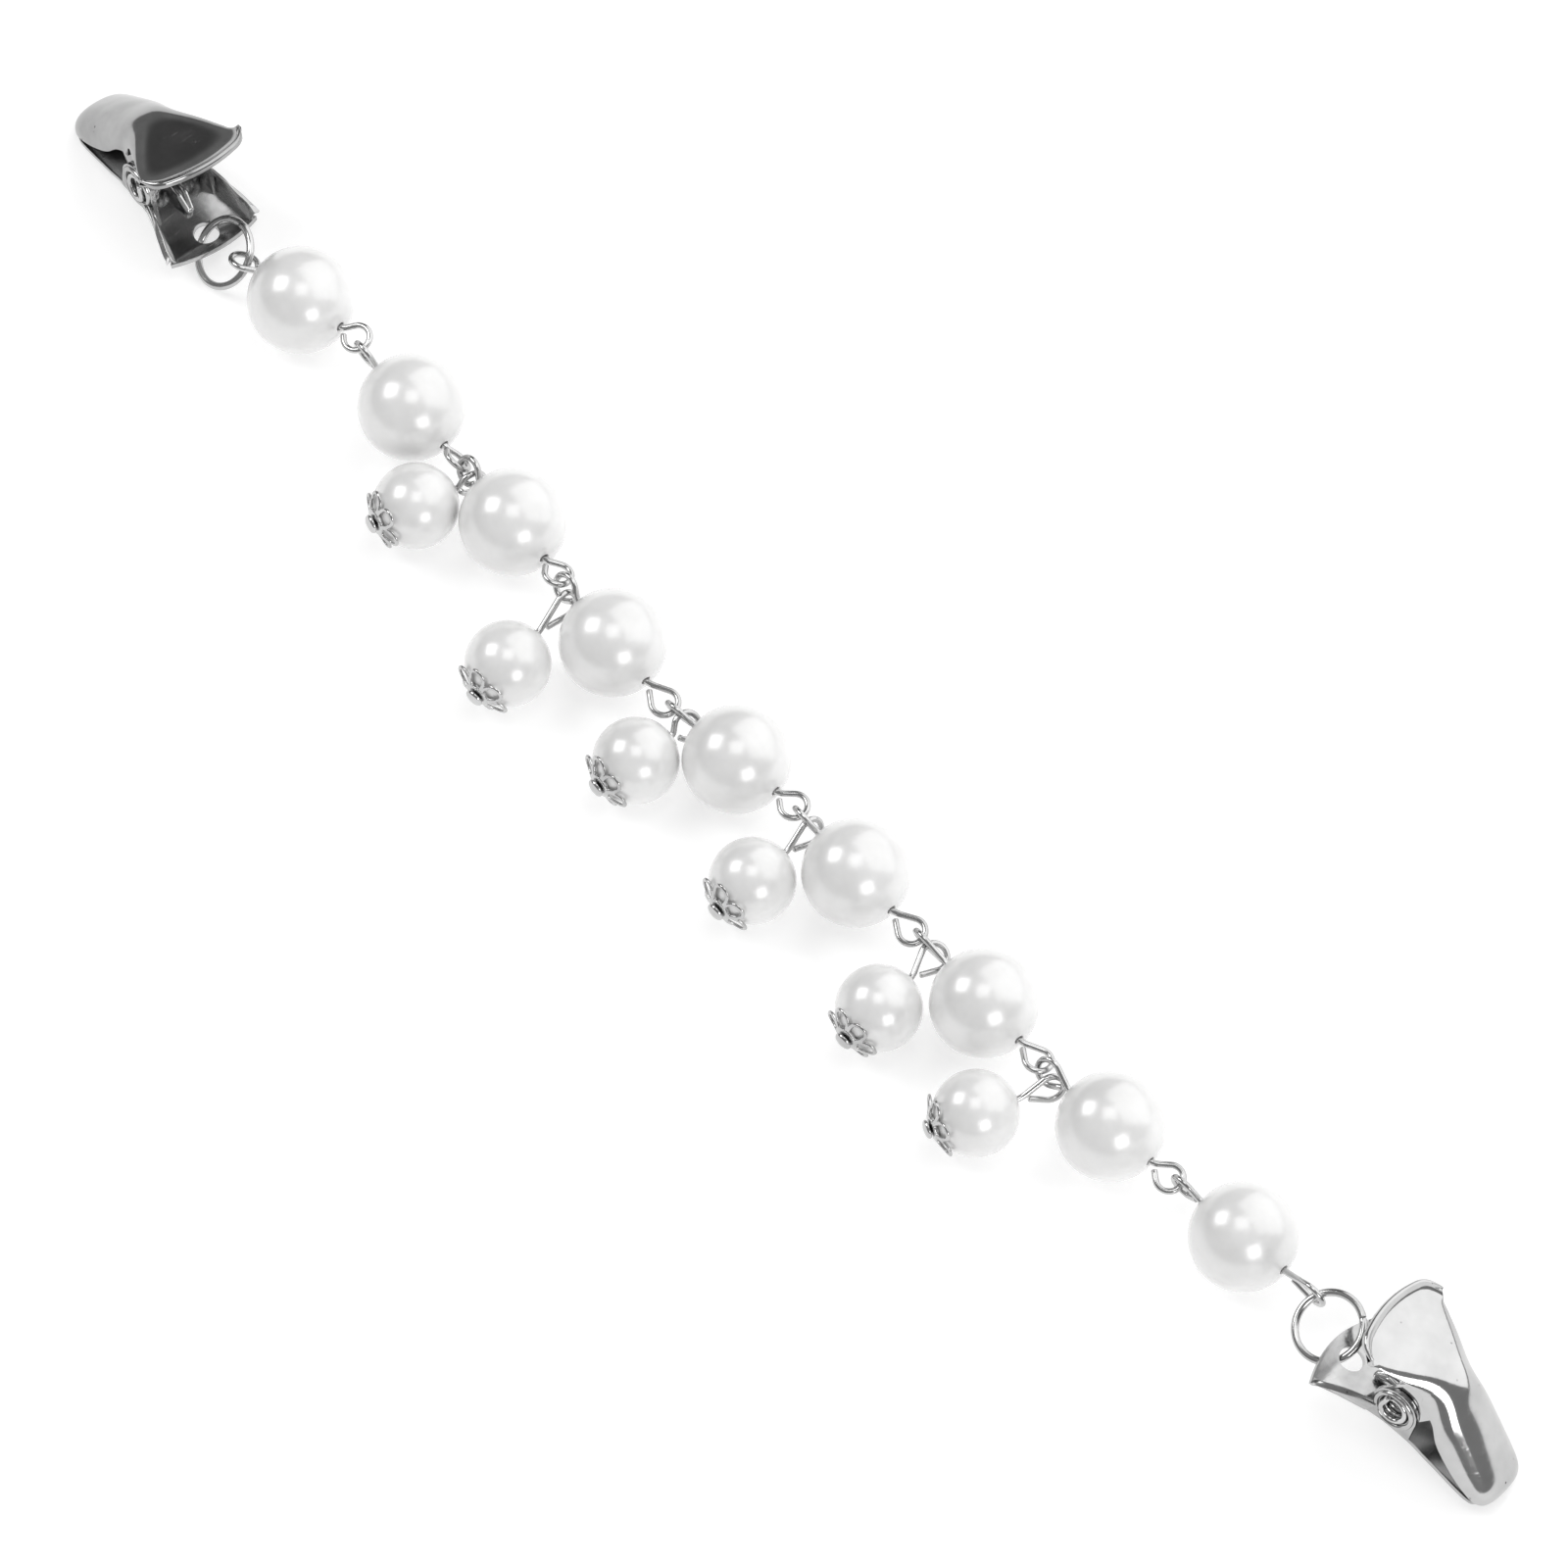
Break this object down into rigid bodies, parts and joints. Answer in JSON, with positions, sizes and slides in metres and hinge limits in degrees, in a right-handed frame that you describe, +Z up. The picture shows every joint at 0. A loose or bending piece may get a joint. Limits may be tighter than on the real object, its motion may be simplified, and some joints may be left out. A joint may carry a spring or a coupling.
{
  "type": "sweater clip",
  "caption": "Strand of imitation pearls with small capped pearl drops, joined by jump rings to a sprung jaw clip at each end, lying on a table",
  "frame": {"origin": "centre of the bounding box at table level", "axes": "+X along the strand from clip a to clip b, +Z up from the table, the drops lie towards -Y"},
  "size_m": [0.1942, 0.0228, 0.0156],
  "materials": {
    "pearl": "pearl coating",
    "drop_pearl": "pearl coating",
    "pin_wire": "bright silver-tone plating",
    "bead_cap": "bright silver-tone plating",
    "ring_wire": "bright silver-tone plating",
    "clip_base": "polished nickel plating",
    "clip_lever": "polished nickel plating",
    "spring_wire": "bright spring wire"
  },
  "bodies": {
    "strand": {"pearl_1": "pearl", "pearl_2": "pearl", "pearl_3": "pearl", "pearl_4": "pearl", "pearl_5": "pearl", "pearl_6": "pearl", "pearl_7": "pearl", "pearl_8": "pearl", "pearl_9": "pearl", "eye_pin_1": "pin_wire", "eye_pin_2": "pin_wire", "eye_pin_3": "pin_wire", "eye_pin_4": "pin_wire", "eye_pin_5": "pin_wire", "eye_pin_6": "pin_wire", "eye_pin_7": "pin_wire", "eye_pin_8": "pin_wire", "eye_pin_9": "pin_wire", "drop_pearl_1": "drop_pearl", "drop_pearl_2": "drop_pearl", "drop_pearl_3": "drop_pearl", "drop_pearl_4": "drop_pearl", "drop_pearl_5": "drop_pearl", "drop_pearl_6": "drop_pearl", "drop_pin_1": "pin_wire", "drop_pin_2": "pin_wire", "drop_pin_3": "pin_wire", "drop_pin_4": "pin_wire", "drop_pin_5": "pin_wire", "drop_pin_6": "pin_wire", "bead_cap_1": "bead_cap", "bead_cap_2": "bead_cap", "bead_cap_3": "bead_cap", "bead_cap_4": "bead_cap", "bead_cap_5": "bead_cap", "bead_cap_6": "bead_cap", "jump_ring_a": "ring_wire", "jump_ring_b": "ring_wire", "clip_a_base": "clip_base", "clip_b_base": "clip_base", "clip_a_spring": "spring_wire", "clip_b_spring": "spring_wire"},
    "lever_a": {"clip_a_lever": "clip_lever"},
    "lever_b": {"clip_b_lever": "clip_lever"}
  },
  "joints": [
    {"name": "clip_a_hinge", "type": "hinge", "parent": "strand", "child": "lever_a", "pos_m": [-0.08545, 0.0041, 0.00493], "axis": [0.0838, 0.9949, -0.056], "range_deg": [0, 25], "stiffness_Nm_per_rad": 0.045, "springref_deg": -34.38, "deforming": ["clip_a_spring"]},
    {"name": "clip_b_hinge", "type": "hinge", "parent": "strand", "child": "lever_b", "pos_m": [0.08595, 0.0052, 0.00662], "axis": [0.1963, -0.9586, 0.2065], "range_deg": [0, 25], "stiffness_Nm_per_rad": 0.045, "springref_deg": -34.38, "deforming": ["clip_b_spring"]}
  ]
}
